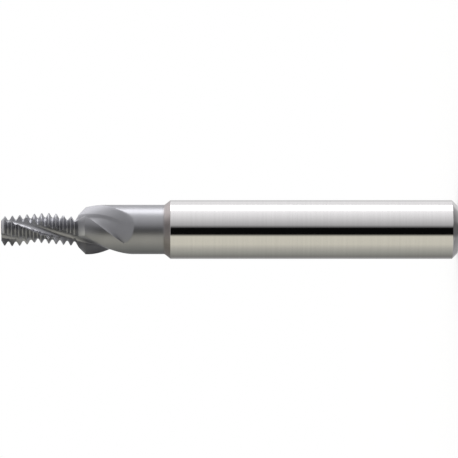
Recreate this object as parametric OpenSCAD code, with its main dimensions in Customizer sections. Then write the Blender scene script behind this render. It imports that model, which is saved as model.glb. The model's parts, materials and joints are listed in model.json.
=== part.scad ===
// Solid carbide thread mill with a countersink section, standing on the end of its shank.
// The origin is the centre of the shank's end face and +Z runs along the axis to the cutting tip.
// It is ground from one rod: shank, shoulder, neck, fluted countersink and ring-tooth cutting part.

/* [Shank] */
// Overall length from the shank's end face to the tip
overall_length = 62; // [58:0.5:80]
// Diameter of the ground plain shank
shank_d = 8; // [7.5:0.5:12]
// Length from the end face to the front edge of the full shank diameter
shank_length = 39; // [30:0.5:40]
// Width of the bevel round the shank's end face, measured both ways
end_bevel = 0.75; // [0.2:0.05:1.2]
// Half angle of the cone from the neck up to the shank
shoulder_angle = 38; // [25:1:60]

/* [Neck and countersink] */
// Diameter of the neck, which the flutes run out on
neck_d = 6.7; // [6:0.05:7]
// Diameter at the outer corner of the countersink edges
countersink_d = 6.76; // [6.2:0.02:7.4]
// Included angle of the countersink edges
countersink_angle = 90; // [82:1:120]
// Diameter at which the countersink cone begins on the far flank of the last groove
cone_foot_d = 4.86; // [4.5:0.02:5.1]
// How far the countersink edges run ahead of the cutter's edges
edge_lead = 13.5; // [0:0.5:20]
// Length behind the countersink corner in which it blends into the neck
corner_blend = 2.2; // [1:0.1:3]

/* [Thread teeth] */
// Diameter over the crests of the teeth at the cutting edges
cutter_d = 4.5; // [4.2:0.05:5]
// Spacing of the ring teeth, the pitch of the thread that they cut
pitch = 1; // [0.8:0.05:1.1]
// Number of ring teeth along the cutter
teeth = 10; // [6:1:11]
// Included angle of one tooth's flanks
tooth_angle = 60; // [55:1:65]
// Flat on the crest of a tooth
crest_flat = 0.125; // [0.08:0.005:0.18]
// Radius at the root between two teeth
root_radius = 0.17; // [0.1:0.01:0.22]
// Flat between the tip face and the first tooth's flank
tip_flat = 0.05; // [0.02:0.01:0.2]
// Fall of the tooth form from the cutting edge back to the heel of its land
relief_drop = 0.42; // [0.2:0.02:0.5]

/* [Flutes] */
// Number of flutes
flutes = 3; // [2:1:3]
// Helix angle of the cutting edges at the cutter diameter
helix_angle = 27; // [10:0.5:35]
// Diameter of the core that the flutes leave
core_d = 2; // [1.7:0.05:2.3]
// Radius of the round gullet at the foot of the rake face
flute_fillet = 0.75; // [0.5:0.01:0.8]
// Angle between the back wall of a flute and the radius through it
back_angle = 25; // [20:1:32]
// Angle between the skirt, which is the back wall beside the countersink, and the radius through it
skirt_angle = 40; // [38:1:48]
// Length from the tip to the end of the flutes on the neck
flute_length = 18.5; // [16.5:0.1:19]
// Length over which a flute rises from full depth to its end
runout_length = 9; // [6:0.1:10]
// How far the middle of the rounded flute end reaches past its sides
runout_round = 1; // [0.5:0.1:3]
// How far the heel of a flute runs ahead of the helix at the flute's end
heel_spread = 10; // [0:0.5:14]
// How much sooner a flute ends at its rake side than at its heel
runout_slant = 1.2; // [0:0.1:2]
// Turn of the first cutting edge at the tip, from +X
edge_turn = -40.4; // [-180:0.1:180]

/* [Hidden] */
$fn = 96;

// Main radii and the heights of the blank, measured up from the shank's end face
shank_r = shank_d / 2;
neck_r = neck_d / 2;
cutter_r = cutter_d / 2;
corner_r = countersink_d / 2;
shoulder_top = shank_length + (shank_r - neck_r) / tan(shoulder_angle);
flank_angle = tooth_angle / 2;
tooth_depth = (pitch - crest_flat) / 2 / tan(flank_angle) - root_radius * (1 / sin(flank_angle) - 1);
root_r = cutter_r - tooth_depth;
half_tooth = crest_flat / 2 + tooth_depth * tan(flank_angle);
first_crest = overall_length - tip_flat - half_tooth;
cone_foot_r = cone_foot_d / 2;
far_flank = first_crest - teeth * pitch + crest_flat / 2;
cone_top = far_flank - (cone_foot_r - cutter_r) * tan(flank_angle);
corner_z = cone_top - (corner_r - cone_foot_r) / tan(countersink_angle / 2);
flute_end = overall_length - flute_length;

// The fluted part enters the turned neck with this much less radius and this much length
head_inset = 0.004;
head_entry = 0.5;
seam_z = flute_end - head_entry;

// Section of one flute, as angles ahead of the cutting edge: rake face, gullet, spiral back and skirt
flute_pitch = 360 / flutes;
core_r = core_d / 2;
fillet_reach = core_r + flute_fillet;
fillet_turn = asin(flute_fillet / fillet_reach);
rake_foot = fillet_reach * cos(fillet_turn);
back_start = fillet_turn + asin(flute_fillet * cos(back_angle) / fillet_reach);
back_start_r = fillet_r(back_start);
heel_r = cutter_r - relief_drop;
heel = back_start + spiral_turn(back_start_r, heel_r, back_angle);
neck_heel = heel + spiral_turn(heel_r, neck_r, skirt_angle);
lead = PI * cutter_d / tan(helix_angle);
runout_power = 0.87;

// Columns of points across one flute and its land, and steps along the other stretches
fillet_steps = 6;
back_steps = 2;
skirt_steps = 4;
land_steps = 5;
root_steps = 4;
cone_steps = 4;
runout_steps = 18;

// Swing of the gullet's arc about its own middle, from just off the rake face to the back wall
fillet_from = 258;
fillet_to = 90 + back_angle + back_start;

// Angle of the point on the gullet's arc at this swing
function fillet_a(swing) = atan2(flute_fillet * (1 + sin(swing)), rake_foot + flute_fillet * cos(swing));

// Distance from the axis to the gullet's arc along the ray at angle a
function fillet_r(a) =
    fillet_reach * cos(a - fillet_turn)
    - sqrt(pow(flute_fillet, 2) - pow(fillet_reach * sin(a - fillet_turn), 2));

// Turn in which a spiral at this angle to the radius grows from one radius to another
function spiral_turn(from_r, to_r, angle) = ln(to_r / from_r) * tan(angle) * 180 / PI;

// Radius that the same spiral reaches after a turn
function spiral_r(from_r, turn, angle) = from_r * exp(turn * PI / 180 / tan(angle));

// Radius of the full-depth flute floor at angle a
function floor_r(a) =
    a < back_start ? fillet_r(a)
    : a < heel ? spiral_r(back_start_r, a - back_start, back_angle)
    : spiral_r(heel_r, a - heel, skirt_angle);

function limit01(x) = min(1, max(0, x));

// Height at which the slanted and rounded end of the flute lies at angle a
function flute_end_at(a) =
    let (side = min(1, abs(2 * a / neck_heel - 1)))
    let (slant = runout_slant * max(0, 1 - a / neck_heel))
    flute_end + slant + runout_round * (1 - sqrt(1 - side * side));

// Share of the full flute depth at angle a and height z
function depth_share(a, z) =
    let (end_z = flute_end_at(a), full_z = flute_end + runout_length)
    pow(limit01((z - end_z) / (full_z - end_z)), runout_power);

// Radius of the ground head at angle a ahead of an edge, for the ring [height, radius, relief share]
function ground_r(a, ring) =
    let (back_off = limit01((flute_pitch - a) / (flute_pitch - heel)))
    let (land = ring[1] - relief_drop * ring[2] * back_off)
    min(land, neck_r - (neck_r - floor_r(a)) * depth_share(a, ring[0]));

function steps(from, to, count) = [for (i = [1 : count]) from + (to - from) * i / count];

// Angles of the columns ahead of the cutting edge, up to the next edge
columns = concat(
    [fillet_a(fillet_from)],
    [for (swing = steps(fillet_from, fillet_to, fillet_steps)) fillet_a(swing)],
    steps(back_start, heel, back_steps),
    steps(heel, neck_heel, skirt_steps),
    steps(neck_heel, flute_pitch, land_steps)
);

// Rings of the blank from the tip down: teeth, countersink cone, fluted neck and the buried entry
tip_rings = [
    [overall_length, root_r, 1],
    [first_crest + half_tooth, root_r, 1]
];

// Rings across one rounded root, whose arc meets both flanks at a tangent
function root_rings(middle) = [
    for (i = [0 : root_steps])
        let (swing = (90 - flank_angle) * (1 - 2 * i / root_steps))
        [middle + root_radius * sin(swing), root_r + root_radius * (1 - cos(swing)), 1]
];
tooth_rings = [
    for (i = [0 : teeth - 1])
        let (crest = first_crest - i * pitch)
        each concat(
            [[crest + crest_flat / 2, cutter_r, 1], [crest - crest_flat / 2, cutter_r, 1]],
            root_rings(crest - pitch / 2)
        )
];
cone_rings = [
    for (share = concat(0, steps(0, 1, cone_steps)))
        [cone_top + (corner_z - cone_top) * share, cone_foot_r + (corner_r - cone_foot_r) * share, 1]
];
neck_rings = [
    for (z = steps(corner_z, flute_end, runout_steps))
        let (corner_share = limit01(1 - (corner_z - z) / corner_blend))
        [z, neck_r - head_inset + (corner_r - neck_r + head_inset) * corner_share, corner_share]
];
rings = concat(
    tip_rings,
    tooth_rings,
    cone_rings,
    neck_rings,
    [[seam_z - head_entry, neck_r - head_inset, 0]]
);

function helix_turn(z) = edge_turn + 360 * (z - overall_length) / lead;

// Extra turn of a column: the lead of the countersink edge, which the gullet under it joins as the flute
// rises, and the spread of the heel on the run-out, both shared out across the flute and the land
function lead_turn(a, z) =
    let (edge_turned = edge_lead * limit01((cone_top - z) / (cone_top - corner_z)))
    let (spread = heel_spread * limit01((corner_z - z) / (corner_z - flute_end)))
    let (shallow = 1 - pow(limit01((z - flute_end) / runout_length), runout_power))
    let (to_heel = a <= neck_heel ? a / neck_heel : (flute_pitch - a) / (flute_pitch - neck_heel))
    spread * to_heel + edge_turned * (1 - to_heel) * (a <= neck_heel ? shallow : 1);

// Points round one ring: each land ends in a cutting edge, then the flute drops away ahead of it
function ring_points(ring) = [
    for (f = [0 : flutes - 1], a = columns)
        let (turn = helix_turn(ring[0]) + f * flute_pitch + a + lead_turn(a, ring[0]))
        ground_r(a, ring) * [cos(turn), sin(turn), 0] + [0, 0, ring[0]]
];

// Shank, shoulder and plain neck, turned in one profile
module shank_and_neck() {
    rotate_extrude()
        polygon([
            [0, 0],
            [shank_r - end_bevel, 0],
            [shank_r, end_bevel],
            [shank_r, shank_length],
            [neck_r, shoulder_top],
            [neck_r, seam_z],
            [0, seam_z]
        ]);
}

// Fluted head as one closed skin through its rings, with a middle point on each end face
module fluted_head() {
    count = flutes * len(columns);
    last = len(rings) - 1;
    tip_centre = count * len(rings);
    entry_centre = tip_centre + 1;
    polyhedron(
        points = concat(
            [for (ring = rings) each ring_points(ring)],
            [[0, 0, rings[0][0]], [0, 0, rings[last][0]]]
        ),
        faces = concat(
            [
                for (k = [0 : last - 1], i = [0 : count - 1])
                    let (a = k * count + i, b = k * count + (i + 1) % count)
                    each [[a, b, b + count], [a, b + count, a + count]]
            ],
            [for (i = [0 : count - 1]) [tip_centre, (i + 1) % count, i]],
            [for (i = [0 : count - 1]) [entry_centre, last * count + i, last * count + (i + 1) % count]]
        )
    );
}

module thread_mill() {
    color("silver") shank_and_neck();
    color("dimgray") fluted_head();
}

thread_mill();
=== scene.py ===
"""Solid carbide thread mill with a countersink section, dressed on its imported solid.

The tool stands on its shank end with +Z to the cutting tip. It is one closed surface on a grid: the
columns of the grid follow the helical flutes, and its rings follow the ground profile from the tip to the
shank.
"""

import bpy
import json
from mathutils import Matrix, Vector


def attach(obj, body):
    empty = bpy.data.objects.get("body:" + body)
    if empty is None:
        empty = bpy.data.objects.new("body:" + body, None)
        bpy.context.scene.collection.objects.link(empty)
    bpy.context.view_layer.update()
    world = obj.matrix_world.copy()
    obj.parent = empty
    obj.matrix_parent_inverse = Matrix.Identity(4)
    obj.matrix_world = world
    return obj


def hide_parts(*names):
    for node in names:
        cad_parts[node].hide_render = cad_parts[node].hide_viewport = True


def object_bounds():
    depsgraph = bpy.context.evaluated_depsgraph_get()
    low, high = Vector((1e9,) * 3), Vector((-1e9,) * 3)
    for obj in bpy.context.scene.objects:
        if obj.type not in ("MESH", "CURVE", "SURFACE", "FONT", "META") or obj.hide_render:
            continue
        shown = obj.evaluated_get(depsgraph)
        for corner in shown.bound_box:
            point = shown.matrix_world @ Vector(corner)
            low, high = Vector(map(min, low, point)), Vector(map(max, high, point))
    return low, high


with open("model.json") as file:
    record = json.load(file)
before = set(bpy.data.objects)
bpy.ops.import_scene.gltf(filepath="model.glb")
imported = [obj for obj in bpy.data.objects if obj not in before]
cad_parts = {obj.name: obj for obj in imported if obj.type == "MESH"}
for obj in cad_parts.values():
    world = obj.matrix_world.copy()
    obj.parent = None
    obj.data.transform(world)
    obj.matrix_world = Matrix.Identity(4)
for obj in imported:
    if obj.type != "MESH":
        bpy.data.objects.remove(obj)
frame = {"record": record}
CAD_BOX = [list(corner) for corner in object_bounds()]

import json
import math
from types import SimpleNamespace

import bpy
import numpy as np
from mathutils import Matrix, Vector

bl_info = {
    "name": "Thread mill",
    "version": (1, 0, 0),
    "blender": (4, 5, 0),
    "location": "View3D > Sidebar > Thread mill",
    "description": "Grinds a fluted carbide thread mill and sets it on a pale studio floor",
    "category": "Add Mesh",
}

MM = 0.001
NODE = "thread_mill"
BODY = "root"

# Grid points on each stretch of the tool's profile, from the tip down
FLANK_POINTS = 6
ROOT_POINTS = 6
CONE_POINTS = 22
FLUTED_NECK_POINTS = 96
PLAIN_NECK_POINTS = 10
CORNER_POINTS = 6
# Grid points on each stretch of a flute's section, from the rake face round to the next one
FILLET_POINTS = 16
BACK_POINTS = 9
SKIRT_POINTS = 13
LAND_POINTS = 17
# Where the fillet's points begin on its circle: the rake face touches it at 270 degrees
FILLET_START = math.radians(250)
# Shrunken rings on each end face, as shares of its rim
END_RINGS = (0.97, 0.8, 0.4)
# Edges that turn by more than this are shaded sharp
SHARP_ANGLE = math.radians(26)
# Faces up to this height above the shank's front edge are bright
BRIGHT_MARGIN = 0.01 * MM
# Paler line along the cutting edges, partly bare carbide where the coating is honed off and partly a painted
# glint: the distance in which it fades, and its share of that paler colour
HONE_AND_GLINT_WIDTH = 0.05 * MM
HONE_AND_GLINT_SHARE = 0.7
# The coating's fringe begins above the shoulder's top edge and is full below it
FRINGE_ABOVE = 0.3 * MM
FRINGE_BELOW = 0.2 * MM

# Grid points round the tent and the floor, from pole to pole of the tent, and along the strip light
ROUND_POINTS = 96
TENT_RINGS = 45
TENT_POLE_RISE = math.radians(88)
STRIP_POINTS = 13
# Emission strengths, where 1 is white, and the share of white in the floor that the lens sees
TENT_GLOW = 1.6
STRIP_GLOW = 3.0
SURROUND_GLOW = 1.0
FLOOR_GLOW = 1.02
FLOOR_WHITE = 0.6

# A camera with a full-frame sensor, in millimetres, that sees from 10 mm to 10 m
SENSOR_WIDTH = 36.0
SIGHT = (0.01, 10.0)

# Numbers of a Mix node's sockets: two colours in and one out, and two floats in and one out
COLOUR_A, COLOUR_B, COLOUR_OUT = 6, 7, 2
FLOAT_A, FLOAT_B, FLOAT_OUT = 2, 3, 0

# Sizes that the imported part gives: its box and its shank mount
SHANK_MOUNT = next(m for m in frame["record"]["mounts"] if m["name"] == "shank")
SHANK_MIDDLE = SHANK_MOUNT["pos_m"][2] / MM
SHANK_HALF = SHANK_MOUNT["dims"]["length_mm"] / 2
OVERALL = CAD_BOX[1][2] / MM

# The photograph's frame and where the tool lies in it, in pixels counted from the middle of the first one
PHOTO_SIZE = 458
TIP_PX = 1.0
SHANK_END_PX = 456.9
AXIS_PX = 229.0


def srgb(text):
    """Linear colour of a hex sRGB value such as #A0A0A0."""
    parts = np.array([int(text[i : i + 2], 16) / 255 for i in (1, 3, 5)])
    linear = np.where(parts <= 0.04045, parts / 12.92, ((parts + 0.055) / 1.055) ** 2.4)
    return tuple(float(c) for c in linear)


def length(name, text, size_mm):
    """Property for a length, given in millimetres and kept in metres."""
    return bpy.props.FloatProperty(
        name=name, description=text, default=size_mm * MM, min=0.0, unit="LENGTH", precision=5
    )


def angle(name, text, degrees):
    """Property for an angle, given in degrees."""
    return bpy.props.FloatProperty(
        name=name, description=text, default=math.radians(degrees), subtype="ANGLE"
    )


def colour(name, text, hex_value):
    """Property for a colour, given as a hex sRGB value."""
    return bpy.props.FloatVectorProperty(
        name=name, description=text, default=srgb(hex_value), size=3, min=0.0, max=1.0, subtype="COLOR"
    )


class MillSizes(bpy.types.PropertyGroup):
    """Ground sizes of the tool."""

    overall_length: length("Overall length", "From the shank's end face to the tip", OVERALL)
    shank_d: length("Shank diameter", "Plain ground shank", 2 * SHANK_MOUNT["dims"]["r_mm"])
    shank_length: length("Shank length", "End face to the shank's front edge", SHANK_MIDDLE + SHANK_HALF)
    end_bevel: length("End bevel", "Bevel round the end face", SHANK_MIDDLE - SHANK_HALF)
    shoulder_angle: angle("Shoulder angle", "Half angle of the cone from neck to shank", 38)
    neck_d: length("Neck diameter", "Neck that the flutes run out on", 6.7)
    countersink_d: length("Countersink diameter", "Outer corner of the countersink edges", 6.76)
    countersink_angle: angle("Countersink angle", "Included angle of the countersink edges", 90)
    cone_foot_d: length("Cone foot diameter", "Where the cone begins on the last groove's far flank", 4.86)
    corner_blend: length("Corner blend", "Length in which the corner blends into the neck", 2.2)
    cutter_d: length("Cutter diameter", "Over the crests of the teeth", 4.5)
    pitch: length("Pitch", "Spacing of the ring teeth", 1.0)
    teeth: bpy.props.IntProperty(name="Teeth", description="Ring teeth along the cutter", default=10, min=1)
    tooth_angle: angle("Tooth angle", "Included angle of a tooth's flanks", 60)
    crest_flat: length("Crest flat", "Flat on the crest of a tooth", 0.125)
    root_radius: length("Root radius", "Radius at the root between two teeth", 0.17)
    tip_flat: length("Tip flat", "Between the tip face and the first flank", 0.05)
    relief_drop: length("Relief", "Fall of the tooth form from edge to heel", 0.42)
    flutes: bpy.props.IntProperty(name="Flutes", description="Number of flutes", default=3, min=1)
    helix_angle: angle("Helix angle", "Of the cutting edges at the cutter diameter", 27)
    core_d: length("Core diameter", "Core that the flutes leave", 2.0)
    flute_fillet: length("Flute fillet", "Radius at the foot of the rake face", 0.75)
    back_angle: angle("Back angle", "Between a flute's back wall and the radius", 25)
    skirt_angle: angle("Skirt angle", "Between the back wall past the cutter's heel and the radius", 40)
    flute_length: length("Flute length", "From the tip to the flutes' end on the neck", 18.5)
    runout_length: length("Run-out", "Length in which a flute rises to its end", 9.0)
    runout_round: length("Run-out round", "Reach of the rounded flute end past its sides", 1.0)
    runout_slant: length("Run-out slant", "How much sooner a flute ends at its rake side", 1.2)
    heel_spread: angle("Heel spread", "How far a flute's heel runs ahead of the helix at the flute's end", 10)
    edge_lead: angle("Edge lead", "How far the countersink edges run ahead of the cutter's edges", 13.5)
    runout_power: bpy.props.FloatProperty(
        name="Run-out power", description="How a flute's depth grows from its end", default=0.87
    )
    edge_turn: angle("Edge turn", "Turn of the first cutting edge at the tip from +X", -40.4)
    edge_break: length("Edge break", "Rounding of the turned edges on the shank", 0.12)
    shoulder_fillet: length("Shoulder fillet", "Rounding between neck and shoulder cone", 0.3)


class MillFinish(bpy.types.PropertyGroup):
    """Colours of the two finishes."""

    carbide: colour("Carbide", "Ground and polished tungsten carbide", "#F0EEEF")
    carbide_dull: colour("Carbide, dull", "Carbide where fine grinding lines scatter the light", "#E4E2E3")
    coating: colour("Coating", "Grey nitride coating", "#B4B4B9")
    coating_deep: colour("Coating, deep", "Coating where it lies thicker", "#AAAAAF")
    coating_fringe: colour("Coating fringe", "Thin edge of the coating on the shoulder", "#9F9898")
    # Paler edge colour: partly bare carbide where the coating is honed off, partly a painted glint along the
    # cutting edges
    bare_edge_and_glint: colour("Bare edge", "Coating honed off along the cutting edges", "#C6C6C8")


class MillStudio(bpy.types.PropertyGroup):
    """Camera, floor and light tent."""

    camera_distance: length("Camera distance", "From the tool's axis to the lens", 550)
    tent_radius: length("Tent radius", "Light tent round the tool", 900)
    strip_radius: length("Strip distance", "From the tool's axis to the strip light", 600)
    strip_rise: length("Strip rise", "How far the strip light runs up past the tool's tip", 120)
    strip_fall: length("Strip fall", "How far the strip light runs down past the shank's end", 200)
    strip_from: angle("Strip from", "First side of the strip light, from the lens to +X", 80)
    strip_to: angle("Strip to", "Second side of the strip light, from the lens to +X", 110)
    floor_radius: length("Floor radius", "Pale round floor", 500)
    floor_colour: colour("Floor", "Pale floor", "#FAFAF8")


def mill_shape(s):
    """Values worked out from the ground sizes: heights along the axis and one flute's angles."""
    v = SimpleNamespace()
    v.shank_r = s.shank_d / 2
    v.neck_r = s.neck_d / 2
    v.cutter_r = s.cutter_d / 2
    v.corner_r = s.countersink_d / 2
    v.shoulder_top = s.shank_length + (v.shank_r - v.neck_r) / math.tan(s.shoulder_angle)
    v.flank_angle = s.tooth_angle / 2
    v.flank_foot = s.pitch / 2 - s.root_radius * math.cos(v.flank_angle)
    sharp_depth = (s.pitch - s.crest_flat) / 2 / math.tan(v.flank_angle)
    tooth_depth = sharp_depth - s.root_radius * (1 / math.sin(v.flank_angle) - 1)
    v.root_r = v.cutter_r - tooth_depth
    v.half_tooth = s.crest_flat / 2 + tooth_depth * math.tan(v.flank_angle)
    v.first_crest = s.overall_length - s.tip_flat - v.half_tooth
    v.last_crest = v.first_crest - (s.teeth - 1) * s.pitch
    v.cone_foot_r = s.cone_foot_d / 2
    v.far_flank = v.last_crest - s.pitch + s.crest_flat / 2
    v.cone_top = v.far_flank - (v.cone_foot_r - v.cutter_r) * math.tan(v.flank_angle)
    v.corner_z = v.cone_top - (v.corner_r - v.cone_foot_r) / math.tan(s.countersink_angle / 2)
    v.flute_end = s.overall_length - s.flute_length
    v.flute_pitch = 2 * math.pi / s.flutes
    v.fillet_reach = s.core_d / 2 + s.flute_fillet
    v.fillet_turn = math.asin(s.flute_fillet / v.fillet_reach)
    v.back_start = v.fillet_turn + math.asin(s.flute_fillet * math.cos(s.back_angle) / v.fillet_reach)
    v.back_start_r = float(fillet_radius(v.back_start, s, v))
    v.back_rate = 1 / math.tan(s.back_angle)
    v.heel_r = v.cutter_r - s.relief_drop
    v.heel = v.back_start + math.log(v.heel_r / v.back_start_r) / v.back_rate
    v.skirt_rate = 1 / math.tan(s.skirt_angle)
    v.neck_heel = v.heel + math.log(v.neck_r / v.heel_r) / v.skirt_rate
    v.lead = math.pi * s.cutter_d / math.tan(s.helix_angle)
    return v


def fillet_radius(a, s, v):
    """Distance from the axis to the near side of the fillet circle along the ray at angle a."""
    across = v.fillet_reach * np.sin(a - v.fillet_turn)
    inside = np.maximum(s.flute_fillet**2 - across**2, 0)
    return v.fillet_reach * np.cos(a - v.fillet_turn) - np.sqrt(inside)


def floor_radius(a, s, v):
    """Full-depth flute floor: the fillet circle ahead of the rake face, then a logarithmic spiral as back
    wall and, past the cutter's heel, a flatter one as the skirt of the countersink."""
    back = v.back_start_r * np.exp(v.back_rate * (a - v.back_start))
    skirt = v.heel_r * np.exp(v.skirt_rate * (a - v.heel))
    return np.where(a < v.back_start, fillet_radius(a, s, v), np.where(a < v.heel, back, skirt))


def depth_share(a, z, s, v):
    """Share of the full flute depth: a power of the height above the flute's end, which is slanted and
    rounded like half an ellipse across the flute."""
    side = np.minimum(1, np.abs(2 * a / v.neck_heel - 1))
    slant = s.runout_slant * np.maximum(0, 1 - a / v.neck_heel)
    end_z = v.flute_end + slant + s.runout_round * (1 - np.sqrt(1 - side**2))
    full_z = v.flute_end + s.runout_length
    return np.clip((z - end_z) / (full_z - end_z), 0, 1) ** s.runout_power


def ground_radius(a, z, blank, relief, s, v):
    """Radius of the ground head: the smaller of the relieved land, which falls evenly from the cutting
    edge back to the heel, and the flute floor, which rises to the neck radius at the flute's end."""
    back_off = np.clip((v.flute_pitch - a) / (v.flute_pitch - v.heel), 0, 1)
    land = blank - s.relief_drop * relief * back_off
    flute = v.neck_r - (v.neck_r - floor_radius(a, s, v)) * depth_share(a, z, s, v)
    return np.minimum(land, flute)


def head_profile(s, v):
    """Rings of the head from the tip down, as arrays of height, blank radius and relief share: straight
    tooth flanks between crest flats and root arcs, a straight countersink cone, then a straight blend
    into the neck."""
    swing = np.linspace(math.pi / 2 - v.flank_angle, 0, ROOT_POINTS)
    half = np.concatenate(
        [
            [0, s.crest_flat / 2],
            np.linspace(s.crest_flat / 2, v.flank_foot, FLANK_POINTS)[1:-1],
            s.pitch / 2 - s.root_radius * np.sin(swing),
        ]
    )
    crests = v.first_crest - s.pitch * np.arange(s.teeth + 1)
    teeth = (crests[:, None] + np.concatenate([-half[::-1], half])[None, :]).ravel()
    teeth = teeth[(teeth < v.first_crest + v.half_tooth) & (teeth > v.cone_top)]
    cone = np.linspace(v.cone_top, v.corner_z, CONE_POINTS)
    neck = np.linspace(v.corner_z, v.flute_end, FLUTED_NECK_POINTS)
    z = np.concatenate([[s.overall_length, v.first_crest + v.half_tooth], teeth, cone, neck])
    z = np.unique(np.round(z, 9))[::-1]
    off_crest = np.abs((v.first_crest - z + s.pitch / 2) % s.pitch - s.pitch / 2)
    off_flat = np.maximum(off_crest - s.crest_flat / 2, 0)
    under_crest = np.where(z > v.last_crest - s.pitch / 2, off_flat, z - v.far_flank)
    flank_r = v.cutter_r - under_crest / math.tan(v.flank_angle)
    off_root = np.minimum(s.pitch / 2 - off_crest, s.root_radius)
    arc_r = v.root_r + s.root_radius - np.sqrt(s.root_radius**2 - off_root**2)
    in_root = (off_crest > v.flank_foot) & (z < v.first_crest)
    tooth_r = np.where(in_root, arc_r, np.maximum(flank_r, v.root_r))
    cone_r = v.cone_foot_r + (v.cone_top - z) * math.tan(s.countersink_angle / 2)
    corner_share = np.clip(1 - (v.corner_z - z) / s.corner_blend, 0, 1)
    neck_r = v.neck_r + (v.corner_r - v.neck_r) * corner_share
    blank = np.where(z >= v.cone_top, tooth_r, np.where(z >= v.corner_z, cone_r, neck_r))
    return z, blank, np.where(z >= v.corner_z, 1.0, corner_share)


def rounded(corners, radii, steps):
    """Profile through corner points, each inner corner replaced by an arc tangent to both its sides."""
    corners = [np.array(c, dtype=float) for c in corners]
    points = [corners[0][None, :]]
    for before, corner, after, radius in zip(corners, corners[1:], corners[2:], radii):
        to_before = (before - corner) / np.linalg.norm(before - corner)
        to_after = (after - corner) / np.linalg.norm(after - corner)
        half = math.acos(float(np.clip(to_before @ to_after, -1, 1))) / 2
        middle = (to_before + to_after) / np.linalg.norm(to_before + to_after)
        centre = corner + middle * radius / math.sin(half)
        start = corner + to_before * radius / math.tan(half) - centre
        end = corner + to_after * radius / math.tan(half) - centre
        share = np.linspace(0, 1, steps)[:, None]
        blend = start + (end - start) * share
        points.append(centre + blend * radius / np.linalg.norm(blend, axis=1)[:, None])
    points.append(corners[-1][None, :])
    return np.concatenate(points)


def turned_profile(s, v):
    """Plain neck, shoulder cone, shank and end bevel from the flutes' end down: heights and radii."""
    corners = [
        (v.flute_end, v.neck_r),
        (v.shoulder_top, v.neck_r),
        (s.shank_length, v.shank_r),
        (s.end_bevel, v.shank_r),
        (0, v.shank_r - s.end_bevel),
        (0, 0),
    ]
    radii = [s.shoulder_fillet, s.edge_break, s.edge_break, s.edge_break]
    points = rounded(corners, radii, CORNER_POINTS)
    plain = np.linspace(v.flute_end, v.shoulder_top + 2 * s.shoulder_fillet, PLAIN_NECK_POINTS)[1:]
    neck = np.stack([plain, np.full_like(plain, v.neck_r)], axis=1)
    return np.concatenate([neck, points[1:-1]]).T


def flute_columns(s, v):
    """Angles of one flute's columns ahead of its cutting edge, and of all the flutes' columns: even steps
    round the fillet arc, then along the back wall, the skirt that only the countersink has, and the land
    up to the next edge."""
    x = math.sqrt(v.fillet_reach**2 - s.flute_fillet**2)
    swing = np.linspace(FILLET_START, math.pi / 2 + s.back_angle + v.back_start, FILLET_POINTS)
    fillet = np.arctan2(s.flute_fillet * (1 + np.sin(swing)), x + s.flute_fillet * np.cos(swing))
    one = np.concatenate(
        [
            fillet,
            np.linspace(v.back_start, v.heel, BACK_POINTS)[1:],
            np.linspace(v.heel, v.neck_heel, SKIRT_POINTS)[1:],
            np.linspace(v.neck_heel, v.flute_pitch, LAND_POINTS)[1:],
        ]
    )
    return one, np.concatenate([one + f * v.flute_pitch for f in range(s.flutes)])


def mill_grid(s, v):
    """The tool's surface on a grid, and each column's angle ahead of its cutting edge. A point lies at
    radius r(a, z) and at the helix turn of its ring plus its column's angle. From the countersink down,
    columns near an edge also run ahead by the edge lead and those near a heel by the heel spread. Below
    the flutes the columns ease over to an even spacing round the shank."""
    one, columns = flute_columns(s, v)
    ahead = np.tile(one, s.flutes)
    z, blank, relief = head_profile(s, v)
    head_r = ground_radius(ahead[None, :], z[:, None], blank[:, None], relief[:, None], s, v)
    low_z, low_r = turned_profile(s, v)
    all_z = np.concatenate([z, low_z])
    radius = np.concatenate([head_r, np.repeat(low_r[:, None], len(columns), axis=1)])
    turn = s.edge_turn + 2 * math.pi * (np.maximum(all_z, v.flute_end) - s.overall_length) / v.lead
    even = 2 * math.pi * np.arange(1, len(columns) + 1) / len(columns)
    ease = np.clip((v.flute_end - all_z) / (v.flute_end - v.shoulder_top), 0, 1)
    ease = (ease * ease * (3 - 2 * ease))[:, None]
    lead = s.edge_lead * np.clip((v.cone_top - all_z) / (v.cone_top - v.corner_z), 0, 1)
    shallow = 1 - np.clip((all_z - v.flute_end) / s.runout_length, 0, 1) ** s.runout_power
    spread = s.heel_spread * np.clip((v.corner_z - all_z) / (v.corner_z - v.flute_end), 0, 1)
    in_flute = ahead <= v.neck_heel
    past_heel = (v.flute_pitch - ahead) / (v.flute_pitch - v.neck_heel)
    to_heel = np.where(in_flute, ahead / v.neck_heel, past_heel)
    edge_part = lead[:, None] * (1 - to_heel) * np.where(in_flute, shallow[:, None], 1)
    led = columns + edge_part + spread[:, None] * to_heel
    theta = turn[:, None] + led * (1 - ease) + even * ease
    height = np.repeat(all_z[:, None], len(columns), axis=1)
    points = np.stack([radius * np.cos(theta), radius * np.sin(theta), height], axis=2)
    return points, ahead


def skin(points, end_rings=END_RINGS):
    """Closed mesh of a grid of rings: each end gets shrunken copies of its ring and a middle point.
    Returns the vertices, the quads and the triangles round the middle points, which all face outwards."""
    top = points[0][None] * np.array(end_rings[::-1])[:, None, None]
    top[:, :, 2] = points[0][None, :, 2]
    bottom = points[-1][None] * np.array(end_rings)[:, None, None]
    bottom[:, :, 2] = points[-1][None, :, 2]
    grid = np.concatenate([top, points, bottom])
    rings, count = grid.shape[:2]
    index = np.arange(rings * count).reshape(rings, count)
    ahead = np.roll(index, -1, axis=1)
    quads = np.stack([index[:-1], index[1:], ahead[1:], ahead[:-1]], axis=2).reshape(-1, 4)
    tip = rings * count
    foot = tip + 1
    tip_fan = np.stack([np.full(count, tip), index[0], ahead[0]], axis=1)
    foot_fan = np.stack([np.full(count, foot), ahead[-1], index[-1]], axis=1)
    ends = np.array([[0, 0, grid[0, 0, 2]], [0, 0, grid[-1, 0, 2]]])
    return np.concatenate([grid.reshape(-1, 3), ends]), quads, np.concatenate([tip_fan, foot_fan])


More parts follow.
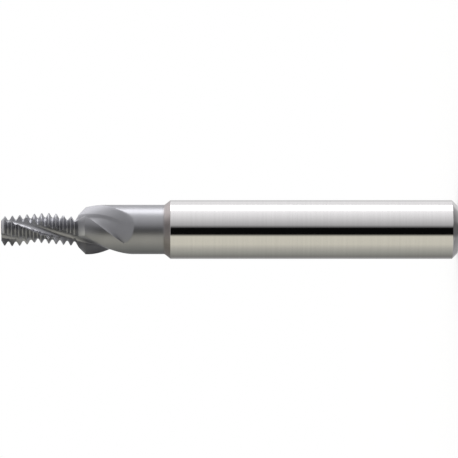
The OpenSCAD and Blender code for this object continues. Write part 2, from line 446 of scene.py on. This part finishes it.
def new_mesh(name, vertices, quads, triangles):
    """Mesh object at the origin from arrays of vertices, quads and triangles."""
    mesh = bpy.data.meshes.new(name)
    mesh.from_pydata(vertices, [], quads.tolist() + triangles.tolist())
    mesh.polygons.foreach_set("use_smooth", np.ones(len(mesh.polygons), dtype=bool))
    mesh.update()
    piece = bpy.data.objects.new(name, mesh)
    bpy.context.scene.collection.objects.link(piece)
    return piece


def node(tree, kind, inputs=None, **settings):
    """Adds a node with its settings. Each input is a value, or another node's output to link."""
    made = tree.nodes.new(kind)
    for name, value in settings.items():
        setattr(made, name, value)
    for socket, value in (inputs or {}).items():
        if isinstance(value, bpy.types.NodeSocket):
            tree.links.new(value, made.inputs[socket])
        else:
            made.inputs[socket].default_value = value
    return made


def new_material(name):
    """Empty node material and its tree."""
    material = bpy.data.materials.new(name)
    material.use_nodes = True
    material.node_tree.nodes.clear()
    return material, material.node_tree


def rgba(c):
    """Opaque colour for a node's socket."""
    return (*c, 1.0)


def ground_carbide(finish):
    """Tungsten carbide, cylindrically ground and polished: a bright mirror with only faint lines."""
    material, tree = new_material("ground_polished_tungsten_carbide")
    place = node(tree, "ShaderNodeTexCoord").outputs["Object"]
    # Grinding lines run round the shank. They are about 0.01 mm apart and are drawn at 0.3 mm, so that
    # they show, and they fade in and out over about 16.7 mm
    run = 1 / (16.7 * MM)
    around = node(tree, "ShaderNodeMapping", {"Vector": place, "Scale": (run, run, 1 / (0.3 * MM))})
    lines = node(tree, "ShaderNodeTexNoise", {"Vector": around.outputs[0], "Scale": 1.0, "Detail": 4.0})
    # Wiped-on film from handling, in patches of about 6 mm
    patch = node(tree, "ShaderNodeTexNoise", {"Vector": place, "Scale": 1 / (6 * MM), "Detail": 2.0})
    tone = node(
        tree,
        "ShaderNodeMix",
        {
            "Factor": lines.outputs["Fac"],
            COLOUR_A: rgba(finish.carbide),
            COLOUR_B: rgba(finish.carbide_dull),
        },
        data_type="RGBA",
    )
    # Polished to a mirror, a little rougher in the lines and under the film
    line_rough = node(
        tree, "ShaderNodeMapRange", {"Value": lines.outputs["Fac"], "To Min": 0.035, "To Max": 0.07}
    )
    rough = node(
        tree,
        "ShaderNodeMath",
        {0: patch.outputs["Fac"], 1: 0.03, 2: line_rough.outputs[0]},
        operation="MULTIPLY_ADD",
    )
    bump = node(
        tree,
        "ShaderNodeBump",
        {"Height": lines.outputs["Fac"], "Strength": 0.02, "Distance": 0.004 * MM},
    )
    shader = node(
        tree,
        "ShaderNodeBsdfPrincipled",
        {
            "Base Color": tone.outputs[COLOUR_OUT],
            "Metallic": 1.0,
            "Roughness": rough.outputs[0],
            "Normal": bump.outputs[0],
        },
    )
    node(tree, "ShaderNodeOutputMaterial", {"Surface": shader.outputs[0]})
    return material


def coated_carbide(finish, v):
    """Carbide with a grey nitride coating laid on by vapour: a satin, slightly violet grey over fine
    grinding lines, with a warmer fringe where the coating thins out on the shoulder and a paler line
    along the cutting edges, partly bare carbide and partly a painted glint."""
    material, tree = new_material("grey_nitride_coated_carbide")
    place = node(tree, "ShaderNodeTexCoord").outputs["Object"]
    along = node(tree, "ShaderNodeUVMap", uv_map="flute").outputs[0]
    # Lines round the neck and the teeth, and lines along the flutes. Real ones lie about 0.02 mm apart
    # and are drawn at 0.2 mm, so that they show. They fade in and out over about 12.5 mm and 16.7 mm
    fine = 1 / (0.2 * MM)
    run, flute_run = 1 / (12.5 * MM), 1 / (16.7 * MM)
    around = node(tree, "ShaderNodeMapping", {"Vector": place, "Scale": (run, run, fine)})
    rings = node(tree, "ShaderNodeTexNoise", {"Vector": around.outputs[0], "Scale": 1.0, "Detail": 3.0})
    down = node(tree, "ShaderNodeMapping", {"Vector": along, "Scale": (fine, flute_run, 1)})
    streaks = node(tree, "ShaderNodeTexNoise", {"Vector": down.outputs[0], "Scale": 1.0, "Detail": 3.0})
    in_flute = node(tree, "ShaderNodeAttribute", attribute_name="in_flute").outputs["Fac"]
    lines = node(
        tree,
        "ShaderNodeMix",
        {"Factor": in_flute, FLOAT_A: rings.outputs["Fac"], FLOAT_B: streaks.outputs["Fac"]},
        data_type="FLOAT",
    )
    # Slow change of the coating's thickness, in patches of about 2 mm
    patch = node(tree, "ShaderNodeTexNoise", {"Vector": place, "Scale": 1 / (2 * MM), "Detail": 3.0})
    tone = node(
        tree,
        "ShaderNodeMix",
        {
            "Factor": patch.outputs["Fac"],
            COLOUR_A: rgba(finish.coating),
            COLOUR_B: rgba(finish.coating_deep),
        },
        data_type="RGBA",
    )
    height = node(tree, "ShaderNodeSeparateXYZ", {0: place}).outputs["Z"]
    fringe = node(
        tree,
        "ShaderNodeMapRange",
        {
            "Value": height,
            "From Min": v.shoulder_top + FRINGE_ABOVE,
            "From Max": v.shoulder_top - FRINGE_BELOW,
        },
        interpolation_type="SMOOTHSTEP",
    )
    fringed = node(
        tree,
        "ShaderNodeMix",
        {
            "Factor": fringe.outputs[0],
            COLOUR_A: tone.outputs[COLOUR_OUT],
            COLOUR_B: rgba(finish.coating_fringe),
        },
        data_type="RGBA",
    )
    # Paler line along the cutting edges: partly bare carbide, partly a painted glint
    wear_and_glint = node(tree, "ShaderNodeAttribute", attribute_name="edge_wear_and_glint").outputs["Fac"]
    worn_and_glinting = node(
        tree,
        "ShaderNodeMix",
        {"Factor": wear_and_glint, COLOUR_A: fringed.outputs[COLOUR_OUT], COLOUR_B: rgba(finish.bare_edge_and_glint)},
        data_type="RGBA",
    )
    # Satin, because the coating follows the ground surface and adds a fine grain of its own
    rough = node(
        tree, "ShaderNodeMapRange", {"Value": lines.outputs[FLOAT_OUT], "To Min": 0.33, "To Max": 0.41}
    )
    bump = node(
        tree,
        "ShaderNodeBump",
        {"Height": lines.outputs[FLOAT_OUT], "Strength": 0.03, "Distance": 0.01 * MM},
    )
    shader = node(
        tree,
        "ShaderNodeBsdfPrincipled",
        {
            "Base Color": worn_and_glinting.outputs[COLOUR_OUT],
            "Metallic": 1.0,
            "Roughness": rough.outputs[0],
            "Normal": bump.outputs[0],
        },
    )
    node(tree, "ShaderNodeOutputMaterial", {"Surface": shader.outputs[0]})
    return material


def point_values(mesh, name, values):
    """Stores one float for each vertex of the mesh as an attribute."""
    mesh.attributes.new(name, "FLOAT", "POINT").data.foreach_set("value", values.astype(np.float32))


class THREADMILL_OT_tool(bpy.types.Operator):
    """Grind the tool as one closed surface and finish its shank bright and its head coated"""

    bl_idname = "threadmill.tool"
    bl_label = "Grind the tool"

    def execute(self, context):
        s = context.scene.mill_sizes
        v = mill_shape(s)
        points, ahead = mill_grid(s, v)
        vertices, quads, triangles = skin(points)
        piece = new_mesh("thread_mill_ground", vertices, quads, triangles)
        mesh = piece.data
        mesh.set_sharp_from_angle(angle=SHARP_ANGLE)
        finish = context.scene.mill_finish
        mesh.materials.append(coated_carbide(finish, v))
        mesh.materials.append(ground_carbide(finish))
        face_z = np.concatenate([vertices[faces, 2].mean(axis=1) for faces in (quads, triangles)])
        bright = face_z < s.shank_length + BRIGHT_MARGIN
        mesh.polygons.foreach_set("material_index", bright.astype(np.int32))

        count = points.shape[1]
        column = np.append(np.tile(np.arange(count), (len(vertices) - 2) // count), [0, 0])
        a = ahead[column]
        z = vertices[:, 2]
        radius = np.hypot(vertices[:, 0], vertices[:, 1])
        # Paler line along the cutting edges, fading away from them: partly bare carbide, partly a painted
        # glint
        to_edge = (v.flute_pitch - a) * radius
        near = np.where(z > v.corner_z, np.exp(-to_edge / HONE_AND_GLINT_WIDTH), 0.0)
        point_values(mesh, "edge_wear_and_glint", near * HONE_AND_GLINT_SHARE)
        heel = np.where(z > v.cone_top, v.heel, v.neck_heel)
        in_flute = (a < heel) & (depth_share(a, z, s, v) > 0)
        point_values(mesh, "in_flute", in_flute.astype(float))
        uv = mesh.uv_layers.new(name="flute")
        corner = np.empty(len(mesh.loops), dtype=np.int32)
        mesh.loops.foreach_get("vertex_index", corner)
        unrolled = np.stack([a * v.cutter_r, z], axis=1)[corner]
        uv.data.foreach_set("uv", unrolled.ravel().astype(np.float32))
        mesh.update()
        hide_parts(NODE)
        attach(piece, BODY)
        return {"FINISHED"}


# Tones of the light tent by angle in degrees from the lens, positive to the tool's +X side. Level with
# the tool: a white panel above it in the picture, a dark slot round the lens and a warm table below it.
# Past the tip: a grey wall under the panel, which comes nearer to the lens higher up, and a dim end with
# a pale card at the back. Past the shank's end: a dimmer table, a pale floor that the dark slot runs on
# through, and a dark spot right under the tool
TENT_LEVEL = (
    (-180, "#AEAEAE"), (-157, "#7D7D7D"), (-131, "#656561"), (-101, "#80817A"), (-80, "#929189"),
    (-60, "#AAA89C"), (-28, "#ACAA9E"), (-19, "#060606"), (6, "#060606"), (17, "#8C8C8C"),
    (45, "#B3B3B3"), (72, "#CFCFCF"), (80, "#DBDBDB"), (110, "#D4D4D4"), (118, "#C4C4C4"),
    (135, "#C6C6C6"), (147, "#B1B1B1"), (180, "#AEAEAE"),
)
TENT_TIP = (
    (-180, "#CFCFCF"), (-160, "#7C7C7C"), (-60, "#818274"), (-20, "#929292"), (10, "#929292"),
    (30, "#828282"), (76, "#7C7C7C"), (84, "#CFCFCF"), (92, "#FFFFFF"), (128, "#FFFFFF"),
    (150, "#D4D4D4"), (180, "#CFCFCF"),
)
TENT_HIGH = (
    (-180, "#CFCFCF"), (-160, "#7C7C7C"), (-60, "#818274"), (-20, "#929292"), (24, "#7D7D7D"),
    (35, "#868686"), (62, "#E1E1E1"), (92, "#FFFFFF"), (128, "#FFFFFF"), (150, "#D4D4D4"),
    (180, "#CFCFCF"),
)
TENT_POLE = (
    (-180, "#989898"), (-127, "#F0F0E1"), (-60, "#898989"), (30, "#6E6E6E"), (115, "#747474"),
    (180, "#919191"),
)
TENT_FOOT = (
    (-180, "#A5A5A5"), (-155, "#7F7F7F"), (-110, "#828282"), (-58, "#9E9E98"), (-26, "#595959"),
    (28, "#535353"), (54, "#707070"), (68, "#BCBCBC"), (104, "#C1C1C1"), (120, "#868686"),
    (140, "#919191"), (150, "#B1B1B1"), (180, "#A5A5A5"),
)
TENT_FLOOR = (
    (-180, "#989898"), (-115, "#6C6C6C"), (-98, "#989898"), (-74, "#A5A5A5"), (-54, "#2C2C2C"),
    (20, "#2C2C2C"), (40, "#A5A5A5"), (72, "#A5A5A5"), (100, "#636363"), (120, "#6A6A6A"),
    (157, "#9E9E9E"), (180, "#989898"),
)
TENT_UNDER = "#4D4D4D"


def tent_material(s):
    """Lit cloth of the tent: tones by angle round the tool, which change with the rise above or below it,
    the sine of the elevation from the tool's middle."""
    material, tree = new_material("lit_tent_cloth")
    place = node(tree, "ShaderNodeTexCoord").outputs["Object"]
    turned = node(tree, "ShaderNodeMapping", {"Vector": place, "Rotation": (0, 0, math.pi / 2)})
    sweep = node(tree, "ShaderNodeTexGradient", {"Vector": turned.outputs[0]}, gradient_type="RADIAL")
    # Each ramp runs once round the tool, from -180 to 180 degrees
    ramps = []
    for tones in (TENT_LEVEL, TENT_TIP, TENT_HIGH, TENT_POLE, TENT_FOOT, TENT_FLOOR):
        ramp = node(tree, "ShaderNodeValToRGB", {"Fac": sweep.outputs["Fac"]})
        stops = ramp.color_ramp.elements
        for _ in tones[2:]:
            stops.new(0.5)
        for stop, (at, tone) in zip(stops, tones):
            stop.position = 0.5 + at / 360
            stop.color = rgba(srgb(tone))
        ramps.append(ramp.outputs["Color"])
    level, tip, high, pole, foot, floor = ramps
    to_middle = (0, 0, -s.overall_length / 2)
    centred = node(tree, "ShaderNodeVectorMath", {0: place, 1: to_middle}, operation="ADD")
    direction = node(tree, "ShaderNodeVectorMath", {0: centred.outputs[0]}, operation="NORMALIZE")
    rise = node(tree, "ShaderNodeSeparateXYZ", {0: direction.outputs[0]}).outputs["Z"]
    tone = level
    # The rise at which each zone begins and the one at which it is full
    zones = (
        (0.15, 0.34, tip),
        (0.54, 0.72, high),
        (0.8, 0.95, pole),
        (-0.2, -0.6, foot),
        (-0.58, -0.76, floor),
        (-0.94, -0.99, rgba(srgb(TENT_UNDER))),
    )
    for first, last, other in zones:
        share = node(
            tree,
            "ShaderNodeMapRange",
            {"Value": rise, "From Min": first, "From Max": last},
            interpolation_type="SMOOTHSTEP",
        )
        mixed = node(
            tree,
            "ShaderNodeMix",
            {"Factor": share.outputs[0], COLOUR_A: tone, COLOUR_B: other},
            data_type="RGBA",
        )
        tone = mixed.outputs[COLOUR_OUT]
    glow = node(tree, "ShaderNodeEmission", {"Color": tone, "Strength": TENT_GLOW})
    node(tree, "ShaderNodeOutputMaterial", {"Surface": glow.outputs[0]})
    return material


def floor_material(studio):
    """Pale painted board. The lens sees most of it as plain white; the rest keeps the tool's shadow."""
    material, tree = new_material("pale_painted_floor")
    place = node(tree, "ShaderNodeTexCoord").outputs["Object"]
    grain = node(tree, "ShaderNodeTexNoise", {"Vector": place, "Scale": 1 / (4 * MM), "Detail": 4.0})
    tone = node(
        tree,
        "ShaderNodeMix",
        {"Factor": grain.outputs["Fac"], COLOUR_A: rgba(studio.floor_colour), COLOUR_B: (1, 1, 1, 1)},
        data_type="RGBA",
    )
    paint = node(tree, "ShaderNodeBsdfDiffuse", {"Color": tone.outputs[COLOUR_OUT]})
    white = node(tree, "ShaderNodeEmission", {"Color": (1, 1, 1, 1), "Strength": FLOOR_GLOW})
    ray = node(tree, "ShaderNodeLightPath").outputs
    mirrored = node(
        tree,
        "ShaderNodeMath",
        {0: ray["Is Glossy Ray"], 1: ray["Is Transmission Ray"]},
        operation="MAXIMUM",
    )
    straight = node(
        tree,
        "ShaderNodeMath",
        {0: ray["Is Camera Ray"], 1: mirrored.outputs[0]},
        operation="MAXIMUM",
    )
    seen = node(
        tree,
        "ShaderNodeMath",
        {0: straight.outputs[0], 1: FLOOR_WHITE},
        operation="MULTIPLY",
    )
    mixed = node(
        tree, "ShaderNodeMixShader", {0: seen.outputs[0], 1: paint.outputs[0], 2: white.outputs[0]}
    )
    node(tree, "ShaderNodeOutputMaterial", {"Surface": mixed.outputs[0]})
    return material


def tent_grid(radius, middle_z):
    """Sphere of rings round the tool's axis, a function of turn and rise."""
    rise = np.linspace(TENT_POLE_RISE, -TENT_POLE_RISE, TENT_RINGS)
    turn = np.linspace(0, 2 * math.pi, ROUND_POINTS, endpoint=False)
    flat = radius * np.cos(rise)[:, None]
    height = np.repeat(middle_z + radius * np.sin(rise)[:, None], ROUND_POINTS, axis=1)
    return np.stack([flat * np.cos(turn), flat * np.sin(turn), height], axis=2)


def strip_grid(radius, low, high, first, last):
    """Upright band of a cylinder round the tool's axis, a function of height and turn from the lens."""
    turn = np.linspace(first, last, STRIP_POINTS)
    rows = np.stack([radius * np.sin(turn), -radius * np.cos(turn)], axis=1)
    points = np.concatenate([np.column_stack([rows, np.full(STRIP_POINTS, z)]) for z in (low, high)])
    start = np.arange(STRIP_POINTS - 1)
    return points, np.stack([start, start + 1, start + 1 + STRIP_POINTS, start + STRIP_POINTS], axis=1)


def strip_material():
    """Long white strip light, about twice as bright as the tent."""
    material, tree = new_material("strip_light")
    glow = node(tree, "ShaderNodeEmission", {"Color": (1, 1, 1, 1), "Strength": STRIP_GLOW})
    node(tree, "ShaderNodeOutputMaterial", {"Surface": glow.outputs[0]})
    return material


def floor_rim(radius):
    """Rim of the flat round floor, a function of turn."""
    turn = np.linspace(0, 2 * math.pi, ROUND_POINTS, endpoint=False)
    return np.stack([radius * np.cos(turn), radius * np.sin(turn), np.zeros(ROUND_POINTS)], axis=1)


class THREADMILL_OT_stage(bpy.types.Operator):
    """Set the camera, the pale floor, the white surround and the light tent that the metal reflects"""

    bl_idname = "threadmill.stage"
    bl_label = "Set the stage"

    def execute(self, context):
        scene = context.scene
        s = scene.mill_sizes
        studio = scene.mill_studio

        world = bpy.data.worlds.new("white_surround")
        scene.world = world
        world.use_nodes = True
        sky = world.node_tree
        sky.nodes.clear()
        white = node(sky, "ShaderNodeBackground", {"Color": (1, 1, 1, 1), "Strength": SURROUND_GLOW})
        node(sky, "ShaderNodeOutputWorld", {"Surface": white.outputs[0]})

        rim = floor_rim(studio.floor_radius)
        floor_mesh = bpy.data.meshes.new("floor")
        floor_mesh.from_pydata(rim.tolist(), [], [list(range(ROUND_POINTS))])
        floor = bpy.data.objects.new("floor", floor_mesh)
        scene.collection.objects.link(floor)
        floor_mesh.materials.append(floor_material(studio))
        # The photograph's tool lies clear of any floor, so the metal mirrors only the tent's floor tone
        floor.visible_glossy = False

        vertices, quads, triangles = skin(tent_grid(studio.tent_radius, s.overall_length / 2), ())
        tent = new_mesh("light_tent", vertices, quads, triangles)
        tent.data.materials.append(tent_material(s))

        points, quads = strip_grid(
            studio.strip_radius,
            -studio.strip_fall,
            s.overall_length + studio.strip_rise,
            studio.strip_from,
            studio.strip_to,
        )
        strip = new_mesh("strip_light", points, quads, np.empty((0, 3), dtype=int))
        strip.data.materials.append(strip_material())
        # Both are there for the metal to mirror; the surround lights the floor
        for lit in (tent, strip):
            lit.visible_camera = False
            lit.visible_diffuse = False
            lit.visible_shadow = False

        scale = s.overall_length / (SHANK_END_PX - TIP_PX)
        middle_px = (PHOTO_SIZE - 1) / 2
        lens = bpy.data.cameras.new("camera")
        lens.sensor_width = SENSOR_WIDTH
        lens.lens = SENSOR_WIDTH * studio.camera_distance / (PHOTO_SIZE * scale)
        lens.clip_start, lens.clip_end = SIGHT
        camera = bpy.data.objects.new("camera", lens)
        scene.collection.objects.link(camera)
        # The picture's right is -Z and its top is +X, so the tool lies across it, its tip at the left
        right, up, back = Vector((0, 0, -1)), Vector((1, 0, 0)), Vector((0, -1, 0))
        place = Vector(
            (
                (AXIS_PX - middle_px) * scale,
                -studio.camera_distance,
                (SHANK_END_PX - middle_px) * scale,
            )
        )
        turned = Matrix((right, up, back)).transposed().to_4x4()
        camera.matrix_world = Matrix.Translation(place) @ turned
        scene.camera = camera
        scene.view_settings.view_transform = "Standard"
        return {"FINISHED"}


class THREADMILL_PT_panel(bpy.types.Panel):
    """Lists the steps and the sizes in the sidebar"""

    bl_idname = "THREADMILL_PT_panel"
    bl_label = "Thread mill"
    bl_space_type = "VIEW_3D"
    bl_region_type = "UI"
    bl_category = "Thread mill"

    def draw(self, context):
        for operator in (THREADMILL_OT_tool, THREADMILL_OT_stage):
            self.layout.operator(operator.bl_idname)
        for group in (context.scene.mill_sizes, context.scene.mill_finish, context.scene.mill_studio):
            box = self.layout.box()
            for name in type(group).__annotations__:
                box.prop(group, name)


GROUPS = {"mill_sizes": MillSizes, "mill_finish": MillFinish, "mill_studio": MillStudio}
CLASSES = (*GROUPS.values(), THREADMILL_OT_tool, THREADMILL_OT_stage, THREADMILL_PT_panel)


def register():
    for cls in CLASSES:
        bpy.utils.register_class(cls)
    for name, group in GROUPS.items():
        setattr(bpy.types.Scene, name, bpy.props.PointerProperty(type=group))


def unregister():
    for name in GROUPS:
        delattr(bpy.types.Scene, name)
    for cls in reversed(CLASSES):
        bpy.utils.unregister_class(cls)


def main():
    register()
    bpy.ops.threadmill.tool()
    bpy.ops.threadmill.stage()


if __name__ == "__main__":
    main()
